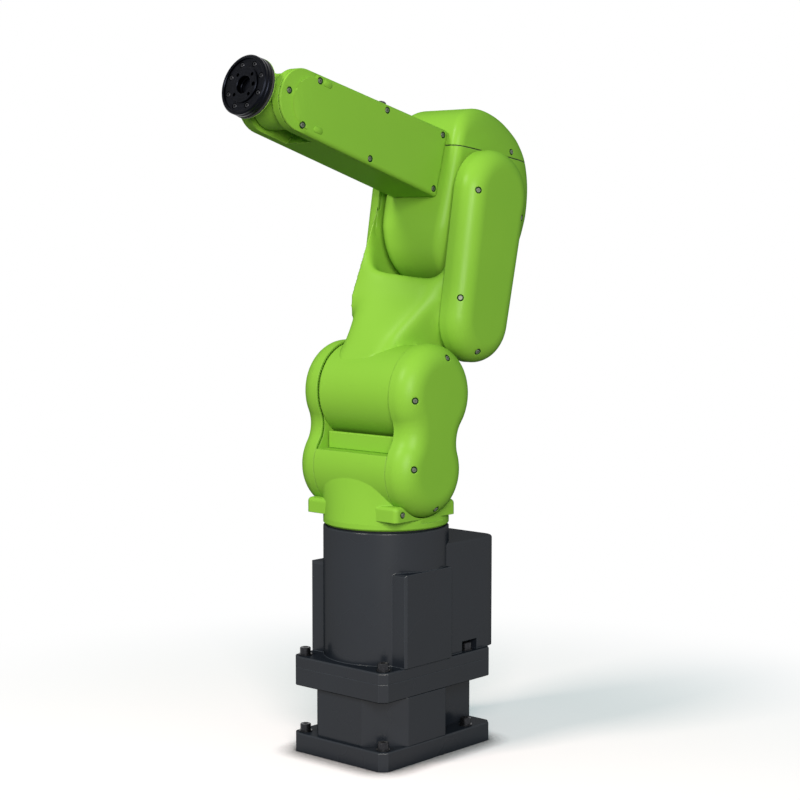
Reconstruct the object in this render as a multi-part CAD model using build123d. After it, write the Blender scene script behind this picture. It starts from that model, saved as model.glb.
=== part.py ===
from build123d import *
import math
import os

# Six-axis collaborative robot arm standing on a force-sensing base block.
# Millimetres. The origin is where the vertical turning axis meets the floor,
# +X is the arm's front, +Y its left side and +Z is up.
# The solids are built in the pose the arm rests in: lower arm leaning back,
# forearm rising gently to the front, wrist in line with the forearm.

# Half the width over the arm's side covers, which column, shoulder and elbow follow
arm_half_width = 92.0

# Base block
plate_inset = 17.0
plate_front = 87.5
plate_rear = 113.0
plate_corner = 8.0
plate_edge = 1.2
bottom_plate_height = 23.0
sensor_height = 58.0
top_plate_height = 22.0
flange_height = 13.5
mount_half_x = 75.0
mount_inset = 12.0
mount_hole_radius = 5.5
sensor_front = 82.0
sensor_inset = 0.5
sensor_chamfer = 39.0
sensor_step_x = -25.0
sensor_rear = 102.0
sensor_rear_half_width = 48.0
sensor_edge = 2.0

# Column
column_inset = 16.5
column_height = 157.5
column_rim = 1.5
pad_front = 51.0
pad_stand = 1.5
pad_height = 110.0
pad_rear = 32.0
pad_edge = 2.5
box_front = 25.0
box_rear = 129.0
box_inset = 6.5
box_height = 136.0
box_corner = 18.0
box_edge = 3.0
bolt_pocket_half = 14.0
bolt_pocket_inset = 17.0
bolt_pocket_height = 13.0
bolt_pocket_round = 4.0
box_window_margin = 14.0
box_window_depth = 3.0
panel_gap = 0.4
panel_corner = 4.0
panel_thickness = 3.0
socket_half_width = 26.0
socket_half_height = 15.0
socket_depth = 11.0
socket_corner = 4.0
socket_wall = 3.0
socket_recess = 7.0
socket_drop = 22.0
port_radius = 6.5
port_bore_radius = 3.5
port_length = 12.0
port_bore_depth = 9.0
port_rise = 24.0
port_spread = 30.0
cap_radius = 10.0
cap_length = 9.0
cap_edge = 1.5

# Turret
seal_inset = 4.5
seal_height = 1.2
turn_gap = 0.5
neck_height = 7.5
neck_edge = 2.0
shoulder_rise = 157.3
shoulder_lobe_radius = 60.0
belly_x = 11.0
belly_rise_share = 0.4374
belly_radius = 55.0
waist_radius = 30.0
cheek_step = 1.0
cheek_depth = 34.0
cheek_core_share = 0.4
cover_wall = 4.0
cover_round_share = 0.76
cover_seam = 0.5
shelf_front = 63.0
shelf_rear = -44.0
shelf_inset = 18.5
shelf_lift = 5.0
shelf_height = 18.0
shelf_edge = 5.0
shelf_corner = 6.0
throat_over_belly = 1.5
throat_front = 63.0
throat_rear = -41.0
throat_corner = 20.0
saddle_front = 38.0
saddle_rear = -43.0
saddle_drop = 35.0
pocket_drop = 6.0
lip_thickness = 5.0
lip_margin = 3.0
lip_edge = 1.0

# Lower arm
hub_radius = 57.0
hub_side_gap = 0.6
moving_clearance = 5.0
lower_arm_length = 260.0
lower_arm_lean = 23.0
arm_root_at = 12.0
arm_root_front = 55.0
arm_root_crease = 8.0
arm_root_rear = -46.0
arm_root_inset = 11.0
arm_flare_share = 0.431
arm_flare_front = 26.0
arm_flare_brow = 42.0
arm_flare_rear = -80.0
arm_root_round = 12.0
arm_flare_round = 18.0
left_tine_depth = 33.5
right_tine_depth = 21.0
tine_core_share = 0.45
tine_head_radius = 56.0
tine_head_short = 4.0
tine_head_back = 10.0
tine_foot_radius = 51.5
tine_foot_at = 110.0
tine_foot_back = 40.0
arm_cover_round_share = 0.72

# Elbow
elbow_reach = 120.0
forearm_offset = 20.0
elbow_front = 46.0
elbow_brow_share = 0.5833
elbow_crown_share = 0.8667
elbow_crown_at = 16.0
elbow_crown_rear_share = 0.6
elbow_keel_share = 0.825
elbow_keel_round_share = 0.4167
elbow_round_share = 0.3833
elbow_edge = 14.0
elbow_split = -40.0
trunnion_radius = 36.0
trunnion_gap = 0.4

# Forearm
forearm_rise = 15.0
forearm_length = 290.0
forearm_start_gap = 0.8
forearm_rear_half = 41.0
forearm_tip_radius = 35.0
forearm_half_width = 36.5
forearm_core_half = 30.0
forearm_edge = 5.0
forearm_corner = 3.0
tip_step_back = 13.0
tip_step_radius = 29.0
tip_step_depth = 2.5
fork_inner = 20.5
fork_depth = 52.0
plug_radius = 5.0
plug_at = 146.0
plug_left = 14.0
plug_floor = 33.0
plug_top = 46.0
plug_edge = 1.2
plug_clearance = 0.2

# Wrist and tool flange
wrist_half_width = 19.9
wrist_radius = 31.0
wrist_neck_radius = 18.0
wrist_neck_end = 42.0
wrist_nose_radius = 34.5
wrist_nose_start = 45.0
wrist_nose_end = 49.0
wrist_edge = 3.0
flange_gap = 0.5
flange_face = 60.5
flange_radius = 34.0
flange_edge = 1.2
flange_back_edge = 2.5
tool_bore_radius = 10.0
tool_bore_depth = 7.0
tool_circle_radius = 15.75
tool_hole_radius = 2.1
tool_hole_depth = 8.0
tool_hole_count = 4
tool_hole_turn = 45.0

overrun = 1.0

# Heights that follow from the stack
sensor_floor = bottom_plate_height
top_plate_floor = sensor_floor + sensor_height
flange_floor = top_plate_floor + top_plate_height
flange_top = flange_floor + flange_height
column_top = flange_top + column_height
neck_floor = column_top + seal_height + turn_gap
shelf_floor = neck_floor + neck_height
shoulder_height = neck_floor + shoulder_rise
belly_height = neck_floor + belly_rise_share * shoulder_rise
throat_top = belly_height + throat_over_belly
saddle_top = shoulder_height - saddle_drop
pocket_floor = shoulder_height - hub_radius - moving_clearance - pocket_drop

# Widths that follow from the width over the arm's covers
plate_half_width = arm_half_width - plate_inset
mount_half_y = plate_half_width - mount_inset
sensor_half_width = plate_half_width - sensor_inset
column_radius = arm_half_width - column_inset
pad_half_width = column_radius + pad_stand
box_half_width = column_radius - box_inset
seal_radius = column_radius - seal_inset
cheek_outer = arm_half_width - cheek_step
cheek_inner = cheek_outer - cheek_depth
cheek_core_outer = cheek_inner + cheek_core_share * cheek_depth
cover_round = cover_round_share * cheek_depth
shelf_half_width = cheek_outer - shelf_inset
hub_half_width = cheek_inner - hub_side_gap
arm_root_rear_half = cheek_inner - arm_root_inset
tine_inner = arm_half_width - left_tine_depth
elbow_half_width = tine_inner - moving_clearance

# Sizes that follow from the arm's length and the elbow's reach
arm_flare_at = arm_flare_share * lower_arm_length
tine_head_at = lower_arm_length - tine_head_short
elbow_brow = elbow_brow_share * elbow_reach
elbow_crown = elbow_crown_share * elbow_reach
elbow_crown_rear = elbow_crown_rear_share * elbow_reach
elbow_keel = elbow_keel_share * elbow_reach
elbow_keel_round = elbow_keel_round_share * elbow_reach
elbow_round = elbow_round_share * elbow_reach

# Joint centres in the side plane
lean = math.radians(lower_arm_lean)
rise = math.radians(forearm_rise)
elbow_x = -lower_arm_length * math.sin(lean)
elbow_z = shoulder_height + lower_arm_length * math.cos(lean)
foot_x = elbow_x - forearm_offset * math.sin(rise)
foot_z = elbow_z + forearm_offset * math.cos(rise)

os.makedirs("parts", exist_ok=True)


def save(name, solid):
    export_step(solid, os.path.join("parts", name + ".step"))


def side_plane(x, z, tilt):
    """A plane standing along X and Z; its own x points forward and its y upward."""
    turn = math.radians(tilt)
    return Plane(origin=(x, 0, z), x_dir=(math.cos(turn), 0, math.sin(turn)), z_dir=(0, -1, 0))


def across(plane, sketch, inner, outer):
    """A side-plane sketch made solid from one distance left of centre to another."""
    return extrude(plane.offset(-inner) * sketch, amount=inner - outer)


def mirrored(solid):
    return mirror(solid, about=Plane.XZ)


def edges_at(solid, y):
    """The edges that lie wholly in the side face at one distance left of centre."""
    return solid.edges().filter_by_position(Axis.Y, y, y)


def repeated(places, sketch):
    return Sketch() + [place * sketch for place in places]


def plate(front, rear, half_width, corner):
    outline = Rectangle(front + rear, 2 * half_width)
    outline = chamfer(outline.vertices(), corner)
    return Pos((front - rear) / 2, 0) * outline


def waisted(first, first_radius, second, second_radius, hollow_radius):
    """Two discs joined by a waist: a hollow arc on each side, tangent to both discs."""
    span = second - first
    far = first_radius + hollow_radius
    near = second_radius + hollow_radius
    along = (far ** 2 - near ** 2 + span.length ** 2) / (2 * span.length)
    out = math.sqrt(far ** 2 - along ** 2)
    middle = first + span.normalized() * along
    sideways = Vector(-span.Y, span.X).normalized() * out
    bridge = Polygon(*[(p.X, p.Y) for p in (first, middle - sideways, second, middle + sideways)], align=None)
    for centre in (middle + sideways, middle - sideways):
        bridge -= Pos(centre) * Circle(hollow_radius)
    return bridge + Pos(first) * Circle(first_radius) + Pos(second) * Circle(second_radius)


def cheek(grown):
    """The cheek's outline, made larger all round by a distance."""
    return waisted(
        Vector(0, shoulder_height),
        shoulder_lobe_radius + grown,
        Vector(belly_x, belly_height),
        belly_radius + grown,
        waist_radius - grown,
    )


def tine(grown):
    """The long outline of the arm's tines, made larger all round by a distance."""
    head = Pos(-tine_head_back, tine_head_at) * Circle(tine_head_radius + grown)
    foot = Pos(-tine_foot_back, tine_foot_at) * Circle(tine_foot_radius + grown)
    return make_hull(head.edges() + foot.edges())


def tine_core(depth):
    """The cast part of a tine, which its cover goes over."""
    return across(
        arm_plane, tine(-cover_wall - cover_seam), tine_inner, tine_inner + tine_core_share * depth
    )


def tine_cover(depth):
    """A domed cover with its hollow for the tine's cast part."""
    hollow_end = tine_inner + tine_core_share * depth + cover_seam
    cover = across(arm_plane, tine(0), tine_inner + cover_seam, tine_inner + depth)
    cover = fillet(edges_at(cover, tine_inner + depth), arm_cover_round_share * depth)
    return cover - across(arm_plane, tine(-cover_wall), tine_inner, hollow_end)


upright = side_plane(0, 0, 0)
arm_plane = side_plane(0, shoulder_height, lower_arm_lean)
elbow_plane = side_plane(elbow_x, elbow_z, forearm_rise)
forearm_plane = side_plane(foot_x, foot_z, forearm_rise)
wrist_x = foot_x + forearm_length * math.cos(rise)
wrist_z = foot_z + forearm_length * math.sin(rise)
wrist_plane = side_plane(wrist_x, wrist_z, forearm_rise)
tool_plane = Plane(
    origin=(wrist_x, 0, wrist_z),
    x_dir=(0, 1, 0),
    z_dir=(math.cos(rise), 0, math.sin(rise)),
)
mount_points = GridLocations(2 * mount_half_x, 2 * mount_half_y, 2, 2)

# Base block: two plates with a sensor body of cut-off corners between them
plate_outline = plate(plate_front, plate_rear, plate_half_width, plate_corner)
bottom_plate = extrude(plate_outline, amount=bottom_plate_height)
bottom_plate = chamfer(bottom_plate.faces().sort_by(Axis.Z)[-1].edges(), plate_edge)
mount_holes = extrude(
    repeated(mount_points, Circle(mount_hole_radius)), amount=bottom_plate_height + overrun
)
bottom_plate -= Pos(0, 0, -overrun / 2) * mount_holes
save("sensor_bottom_plate", bottom_plate)

sensor_outline = Rectangle(sensor_front - sensor_step_x, 2 * sensor_half_width)
sensor_outline = chamfer(sensor_outline.vertices().sort_by(Axis.X)[-2:], sensor_chamfer)
sensor_outline = Pos((sensor_front + sensor_step_x) / 2, 0) * sensor_outline
sensor_outline += Pos((sensor_front - sensor_rear) / 4 - sensor_rear / 2, 0) * Rectangle(
    sensor_rear + (sensor_front - sensor_rear) / 2, 2 * sensor_rear_half_width
)
sensor_outline = fillet(sensor_outline.vertices(), sensor_edge)
save("sensor_body", Pos(0, 0, sensor_floor) * extrude(sensor_outline, amount=sensor_height))

top_plate = Pos(0, 0, top_plate_floor) * extrude(plate_outline, amount=top_plate_height)
top_plate = chamfer(top_plate.faces().sort_by(Axis.Z)[0].edges(), plate_edge)
save("sensor_top_plate", top_plate)

# Column casting: foot flange, round column, flat side pads and the rear terminal box
flange = Pos(0, 0, flange_floor) * extrude(plate_outline, amount=flange_height)
flange = chamfer(flange.faces().sort_by(Axis.Z)[-1].edges(), plate_edge)
column = Pos(0, 0, flange_top) * Cylinder(
    column_radius, column_height, align=(Align.CENTER, Align.CENTER, Align.MIN)
)
column = chamfer(column.faces().sort_by(Axis.Z)[-1].edges(), column_rim)
pads = extrude(
    Pos((pad_front - pad_rear) / 2, 0) * Rectangle(pad_front + pad_rear, 2 * pad_half_width),
    amount=pad_height,
)
pads = Pos(0, 0, flange_top) * pads
pads = chamfer(pads.edges().filter_by(Axis.Y).sort_by(Axis.Z)[-2:], pad_edge)
pads = chamfer(pads.edges().filter_by(Axis.Z).sort_by(Axis.X)[-2:], pad_edge)
terminal_box = extrude(
    Pos(-(box_front + box_rear) / 2, 0) * Rectangle(box_rear - box_front, 2 * box_half_width),
    amount=box_height,
)
terminal_box = Pos(0, 0, flange_top) * terminal_box
terminal_box = fillet(terminal_box.edges().filter_by(Axis.Z).sort_by(Axis.X)[:2], box_corner)
terminal_box = fillet(terminal_box.faces().sort_by(Axis.Z)[-1].edges(), box_edge)
bolt_pocket = extrude(
    Pos(-mount_half_x, box_half_width - bolt_pocket_inset / 2)
    * Rectangle(2 * bolt_pocket_half, bolt_pocket_inset + overrun),
    amount=bolt_pocket_height,
)
bolt_pocket = fillet(bolt_pocket.edges().filter_by(Axis.Z).sort_by(Axis.Y)[:2], bolt_pocket_round)
bolt_pocket = Pos(0, overrun / 2, flange_top) * bolt_pocket
terminal_box = terminal_box - bolt_pocket - mirrored(bolt_pocket)
base_casting = flange + column + pads + terminal_box
window_half_width = box_half_width - box_corner
window_half_height = box_height / 2 - box_window_margin
rear_face = Plane(
    origin=(-box_rear, 0, flange_top + box_height / 2), x_dir=(0, -1, 0), z_dir=(-1, 0, 0)
)
window = RectangleRounded(2 * window_half_width, 2 * window_half_height, panel_corner)
base_casting -= extrude(rear_face.offset(-box_window_depth) * window, amount=box_window_depth + overrun)
save("base_casting", base_casting)

# Terminal panel let into the back of the box, with its socket, air ports and cable gland cap
panel_outline = RectangleRounded(
    2 * (window_half_width - panel_gap), 2 * (window_half_height - panel_gap), panel_corner
)
panel_face = rear_face.offset(panel_thickness - box_window_depth)
save("terminal_panel", extrude(rear_face.offset(-box_window_depth) * panel_outline, amount=panel_thickness))

socket = extrude(
    RectangleRounded(2 * socket_half_width, 2 * socket_half_height, socket_corner), amount=socket_depth
)
socket_mouth = RectangleRounded(
    2 * (socket_half_width - socket_wall), 2 * (socket_half_height - socket_wall), socket_corner / 2
)
socket -= Pos(0, 0, socket_depth - socket_recess) * extrude(socket_mouth, amount=socket_recess + overrun)
save("power_socket", panel_face * Pos(0, -socket_drop) * socket)

port = Cylinder(port_radius, port_length, align=(Align.CENTER, Align.CENTER, Align.MIN))
port_bore = Cylinder(port_bore_radius, port_bore_depth + overrun, align=(Align.CENTER, Align.CENTER, Align.MIN))
port -= Pos(0, 0, port_length - port_bore_depth) * port_bore
save("air_port_supply", panel_face * Pos(-port_spread, port_rise) * port)
save("air_port_exhaust", panel_face * Pos(port_spread, port_rise) * port)

gland_cap = Cylinder(cap_radius, cap_length, align=(Align.CENTER, Align.CENTER, Align.MIN))
gland_cap = chamfer(gland_cap.faces().sort_by(Axis.Z)[-1].edges(), cap_edge)
save("signal_socket_cap", panel_face * Pos(0, port_rise) * gland_cap)

# Shaft seal between column and turret
seal = Cylinder(seal_radius, seal_height, align=(Align.CENTER, Align.CENTER, Align.MIN))
save("turret_seal", Pos(0, 0, column_top) * seal)

# Turret: round neck growing into a belly between two waisted cheeks
lobe_low = Pos(belly_x, belly_height) * Circle(belly_radius)
neck = Cylinder(column_radius, neck_height, align=(Align.CENTER, Align.CENTER, Align.MIN))
neck = chamfer(neck.faces().sort_by(Axis.Z)[0].edges(), neck_edge)
neck = Pos(0, 0, neck_floor) * neck
throat_outline = RectangleRounded(throat_front - throat_rear, 2 * cheek_inner, throat_corner)
throat_slab = Pos(0, throat_top) * Rectangle(4 * column_radius, 4 * column_radius)
throat = loft([
    Pos(0, 0, shelf_floor) * Circle(column_radius),
    Pos((throat_front + throat_rear) / 2, 0, throat_top) * throat_outline,
])
throat &= across(upright, throat_slab, -shelf_half_width, shelf_half_width)
shelf = extrude(
    Pos((shelf_front + shelf_rear) / 2, 0)
    * RectangleRounded(shelf_front - shelf_rear, 2 * shelf_half_width, shelf_corner),
    amount=shelf_height,
)
shelf = fillet(shelf.faces().sort_by(Axis.Z)[-1].edges(), shelf_edge)
shelf = Pos(0, 0, shelf_floor + shelf_lift) * shelf
belly = across(upright, lobe_low, -cheek_inner, cheek_inner)
saddle = across(
    upright,
    Polygon(
        (saddle_rear, belly_height),
        (saddle_front, belly_height),
        (saddle_front, saddle_top),
        (saddle_rear, saddle_top),
        align=None,
    ),
    -cheek_inner,
    cheek_inner,
)
hub_room = across(
    arm_plane, Circle(hub_radius + moving_clearance), -cheek_inner - overrun, cheek_inner + overrun
)
pocket = across(
    upright,
    Polygon(
        (saddle_front, pocket_floor),
        (saddle_front + belly_radius, pocket_floor),
        (saddle_front + belly_radius, saddle_top + belly_radius),
        (saddle_front, saddle_top + belly_radius),
        align=None,
    ),
    -cheek_inner,
    cheek_inner,
)
cover_room = across(upright, cheek(cover_seam), cheek_inner, 2 * cheek_outer)
cheek_core = across(upright, cheek(-cover_wall - cover_seam), cheek_inner, cheek_core_outer)
turret = belly + saddle - hub_room - pocket
turret = neck + throat + turret
turret = turret + (shelf - cover_room - mirrored(cover_room))
turret = turret - cover_room - mirrored(cover_room) + cheek_core + mirrored(cheek_core)
save("turret_casting", turret)

# Bright guard strip standing in the pocket under the hub
lip_half = cheek_inner - lip_margin
lip_room = math.sqrt((hub_radius + moving_clearance) ** 2 - (saddle_front + lip_thickness) ** 2)
lip_top = shoulder_height - lip_room - lip_margin
lip = across(
    upright,
    Polygon(
        (saddle_front, pocket_floor),
        (saddle_front + lip_thickness, pocket_floor),
        (saddle_front + lip_thickness, lip_top),
        (saddle_front, lip_top),
        align=None,
    ),
    -lip_half,
    lip_half,
)
lip = chamfer(lip.faces().sort_by(Axis.X)[-1].edges(), lip_edge)
save("shoulder_guard_strip", lip)

shoulder_cover = across(upright, cheek(0), cheek_inner + cover_seam, cheek_outer)
shoulder_cover = fillet(edges_at(shoulder_cover, cheek_outer), cover_round)
shoulder_cover -= across(upright, cheek(-cover_wall), cheek_inner, cheek_core_outer + cover_seam)
save("left_shoulder_cover", shoulder_cover)
save("right_shoulder_cover", mirrored(shoulder_cover))

# Lower arm: hub between the cheeks, a leaning body and two tines either side of the elbow
hub = across(arm_plane, Circle(hub_radius), -hub_half_width, hub_half_width)
elbow_room = across(
    arm_plane, Pos(0, lower_arm_length) * Circle(elbow_reach + moving_clearance), -tine_inner, tine_inner
)
elbow_room = fillet(elbow_room.edges().filter_by(GeomType.CIRCLE), elbow_edge + moving_clearance)
arm_axis = (-math.sin(lean), 0, math.cos(lean))
arm_base = Plane(
    origin=(0, 0, shoulder_height), x_dir=(math.cos(lean), 0, math.sin(lean)), z_dir=arm_axis
)
root_section = Polygon(
    (arm_root_front, -arm_root_rear_half),
    (arm_root_front, arm_root_crease),
    (arm_root_rear, arm_root_rear_half),
    (arm_root_rear, -arm_root_rear_half),
    align=None,
)
flare_section = Polygon(
    (arm_flare_brow, -tine_inner),
    (arm_flare_front, tine_inner),
    (arm_flare_rear, tine_inner),
    (arm_flare_rear, -tine_inner),
    align=None,
)
root_section = fillet(root_section.vertices(), arm_root_round)
flare_section = fillet(flare_section.vertices(), arm_flare_round)
arm_flare = loft([arm_base.offset(arm_root_at) * root_section, arm_base.offset(arm_flare_at) * flare_section])
arm_yoke = extrude(arm_base.offset(arm_flare_at) * flare_section, amount=lower_arm_length - arm_flare_at)
arm_trunk = arm_flare + arm_yoke - elbow_room
left_core = tine_core(left_tine_depth)
right_core = mirrored(tine_core(right_tine_depth))
save("lower_arm_casting", hub + arm_trunk + left_core + right_core)
save("left_arm_cover", tine_cover(left_tine_depth))
save("right_arm_cover", mirrored(tine_cover(right_tine_depth)))

# Elbow casing: a rounded block that turns between the tines, split into front casting and rear cover
elbow_sketch = Circle(elbow_reach) & Polygon(
    (elbow_front, -elbow_keel),
    (elbow_front, elbow_brow),
    (elbow_crown_at, elbow_crown),
    (-elbow_reach, elbow_crown_rear),
    (-elbow_reach, -elbow_keel),
    align=None,
)
front_low = elbow_sketch.vertices().sort_by(Axis.X)[-2:].sort_by(Axis.Y)[0]
elbow_sketch = fillet(front_low, elbow_keel_round)
behind = elbow_sketch.vertices().filter_by(
    lambda v: v.X < elbow_crown_at + overrun and math.hypot(v.X, v.Y) > elbow_keel + overrun
)
elbow_sketch = fillet(behind, elbow_round)
elbow_block = across(elbow_plane, elbow_sketch, -elbow_half_width, elbow_half_width)
elbow_block = fillet(
    edges_at(elbow_block, elbow_half_width) + edges_at(elbow_block, -elbow_half_width), elbow_edge
)
cut_half = Polygon(
    (elbow_split, -2 * elbow_reach),
    (elbow_split, 2 * elbow_reach),
    (-2 * elbow_reach, 2 * elbow_reach),
    (-2 * elbow_reach, -2 * elbow_reach),
    align=None,
)
rear_half = across(elbow_plane, cut_half, -2 * elbow_half_width, 2 * elbow_half_width)
front_shift = cover_seam * Vector(math.cos(rise), 0, math.sin(rise))
save("elbow_casting", elbow_block - Pos(front_shift) * rear_half)
save("elbow_rear_cover", elbow_block & rear_half)

trunnion = across(elbow_plane, Circle(trunnion_radius), elbow_half_width, tine_inner - trunnion_gap)
save("left_elbow_bearing", trunnion)
save("right_elbow_bearing", mirrored(trunnion))

# Forearm: tapering shell with a fork at the wrist and a flat cover on each side
shell_start = elbow_front + forearm_start_gap
forearm_side = make_hull(
    (Pos(forearm_length, 0) * Circle(forearm_tip_radius)).edges()
    + (
        Polygon(
            (shell_start, -forearm_rear_half),
            (shell_start, forearm_rear_half),
            (forearm_length, 0),
            align=None,
        )
    ).edges()
)
rear_corners = forearm_side.vertices().filter_by(lambda v: v.X < shell_start + overrun)
forearm_side = fillet(rear_corners, forearm_corner)
fork_room = Pos(forearm_length, 0) * Circle(fork_depth)
fork_front = Polygon(
    (forearm_length, -fork_depth),
    (forearm_length, fork_depth),
    (forearm_length + fork_depth, fork_depth),
    (forearm_length + fork_depth, -fork_depth),
    align=None,
)
forearm_shell = across(forearm_plane, forearm_side, -forearm_core_half, forearm_core_half)
forearm_shell -= across(forearm_plane, fork_room + fork_front, -fork_inner, fork_inner)
plug_plane = Plane(
    origin=(
        foot_x + plug_at * math.cos(rise) - plug_floor * math.sin(rise),
        plug_left,
        foot_z + plug_at * math.sin(rise) + plug_floor * math.cos(rise),
    ),
    x_dir=(0, 1, 0),
    z_dir=(-math.sin(rise), 0, math.cos(rise)),
)
forearm_shell -= plug_plane * Cylinder(
    plug_radius + plug_clearance, plug_top, align=(Align.CENTER, Align.CENTER, Align.MIN)
)
save("forearm_shell", forearm_shell)

plug = Cylinder(plug_radius, plug_top - plug_floor, align=(Align.CENTER, Align.CENTER, Align.MIN))
plug = chamfer(plug.faces().sort_by(Axis.Z)[-1].edges(), plug_edge)
save("forearm_port_plug", plug_plane * plug)

forearm_cover = across(forearm_plane, forearm_side, forearm_core_half + cover_seam, forearm_half_width)
forearm_cover = fillet(edges_at(forearm_cover, forearm_half_width), forearm_edge)
panel_front = forearm_length - tip_step_back
tip_side = Rectangle(2 * forearm_tip_radius, 4 * forearm_tip_radius)
tip_side = Pos(panel_front + forearm_tip_radius, 0) * tip_side
tip_side -= Pos(panel_front, 0) * Circle(tip_step_radius)
forearm_cover -= across(
    forearm_plane, tip_side, forearm_half_width - tip_step_depth, forearm_half_width + overrun
)
save("left_forearm_cover", forearm_cover)
save("right_forearm_cover", mirrored(forearm_cover))

# Wrist: barrel on the fork's cross axis with a flared nose for the tool flange
barrel = Cylinder(wrist_radius, 2 * wrist_half_width)
barrel = chamfer(barrel.edges().filter_by(GeomType.CIRCLE), wrist_edge)
wrist_neck = Plane.YZ * Cylinder(
    wrist_neck_radius, wrist_nose_start, align=(Align.CENTER, Align.CENTER, Align.MIN)
)
flare = loft([
    Plane.YZ.offset(wrist_neck_end) * Circle(wrist_neck_radius),
    Plane.YZ.offset(wrist_nose_start) * Circle(wrist_nose_radius),
])
nose = Plane.YZ.offset(wrist_nose_start) * Cylinder(
    wrist_nose_radius, wrist_nose_end - wrist_nose_start, align=(Align.CENTER, Align.CENTER, Align.MIN)
)
save("wrist_housing", wrist_plane * (barrel + wrist_neck + flare + nose))

# Tool flange: dark disc with a centring bore and a circle of tapped holes
flange_floor_out = wrist_nose_end + flange_gap
flange_disc = Cylinder(
    flange_radius, flange_face - flange_floor_out, align=(Align.CENTER, Align.CENTER, Align.MIN)
)
flange_disc = chamfer(flange_disc.faces().sort_by(Axis.Z)[-1].edges(), flange_edge)
flange_disc = chamfer(flange_disc.faces().sort_by(Axis.Z)[0].edges(), flange_back_edge)
flange_disc = tool_plane.offset(flange_floor_out) * flange_disc
face_plane = tool_plane.offset(flange_face)
flange_disc -= face_plane.offset(-tool_bore_depth) * Cylinder(
    tool_bore_radius, tool_bore_depth + overrun, align=(Align.CENTER, Align.CENTER, Align.MIN)
)
tool_holes = PolarLocations(tool_circle_radius, tool_hole_count, start_angle=tool_hole_turn)
tool_hole = extrude(
    repeated(tool_holes, Circle(tool_hole_radius)), amount=tool_hole_depth + overrun
)
flange_disc -= face_plane.offset(-tool_hole_depth) * tool_hole
save("tool_flange", flange_disc)
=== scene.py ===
import bpy
import bmesh
import math
import numpy as np
from mathutils import Matrix, Vector


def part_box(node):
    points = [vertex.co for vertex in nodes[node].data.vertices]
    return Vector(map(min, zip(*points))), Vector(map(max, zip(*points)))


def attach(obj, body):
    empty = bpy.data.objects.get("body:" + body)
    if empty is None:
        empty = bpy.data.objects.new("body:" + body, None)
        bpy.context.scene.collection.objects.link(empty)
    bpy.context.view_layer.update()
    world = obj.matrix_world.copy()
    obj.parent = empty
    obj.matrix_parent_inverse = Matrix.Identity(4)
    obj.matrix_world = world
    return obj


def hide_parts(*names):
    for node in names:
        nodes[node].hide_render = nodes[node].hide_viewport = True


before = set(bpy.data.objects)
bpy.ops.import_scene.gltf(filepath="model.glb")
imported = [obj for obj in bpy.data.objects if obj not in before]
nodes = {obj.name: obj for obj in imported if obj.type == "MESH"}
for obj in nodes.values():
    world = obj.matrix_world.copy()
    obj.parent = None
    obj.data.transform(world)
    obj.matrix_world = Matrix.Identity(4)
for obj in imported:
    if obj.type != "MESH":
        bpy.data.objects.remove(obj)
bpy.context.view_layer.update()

# Base block and column: two plates, the sensor body between them and the column casting.
# Cast and milled aluminium, sprayed with dark slate polyurethane enamel, bolted flange on flange.


def linear(code):
    """An sRGB hex colour as linear red, green, blue and full alpha."""
    values = [int(code[i:i + 2], 16) / 255 for i in (1, 3, 5)]
    return tuple(v / 12.92 if v <= 0.04045 else ((v + 0.055) / 1.055) ** 2.4 for v in values) + (1.0,)


def add(tree, kind, settings, sockets):
    """One node: its properties, then each socket's value or the output that feeds it."""
    node = tree.nodes.new(kind)
    for name, value in settings.items():
        setattr(node, name, value)
    for name, value in sockets.items():
        if isinstance(value, bpy.types.NodeSocket):
            tree.links.new(value, node.inputs[name])
        else:
            node.inputs[name].default_value = value
    return node


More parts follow.
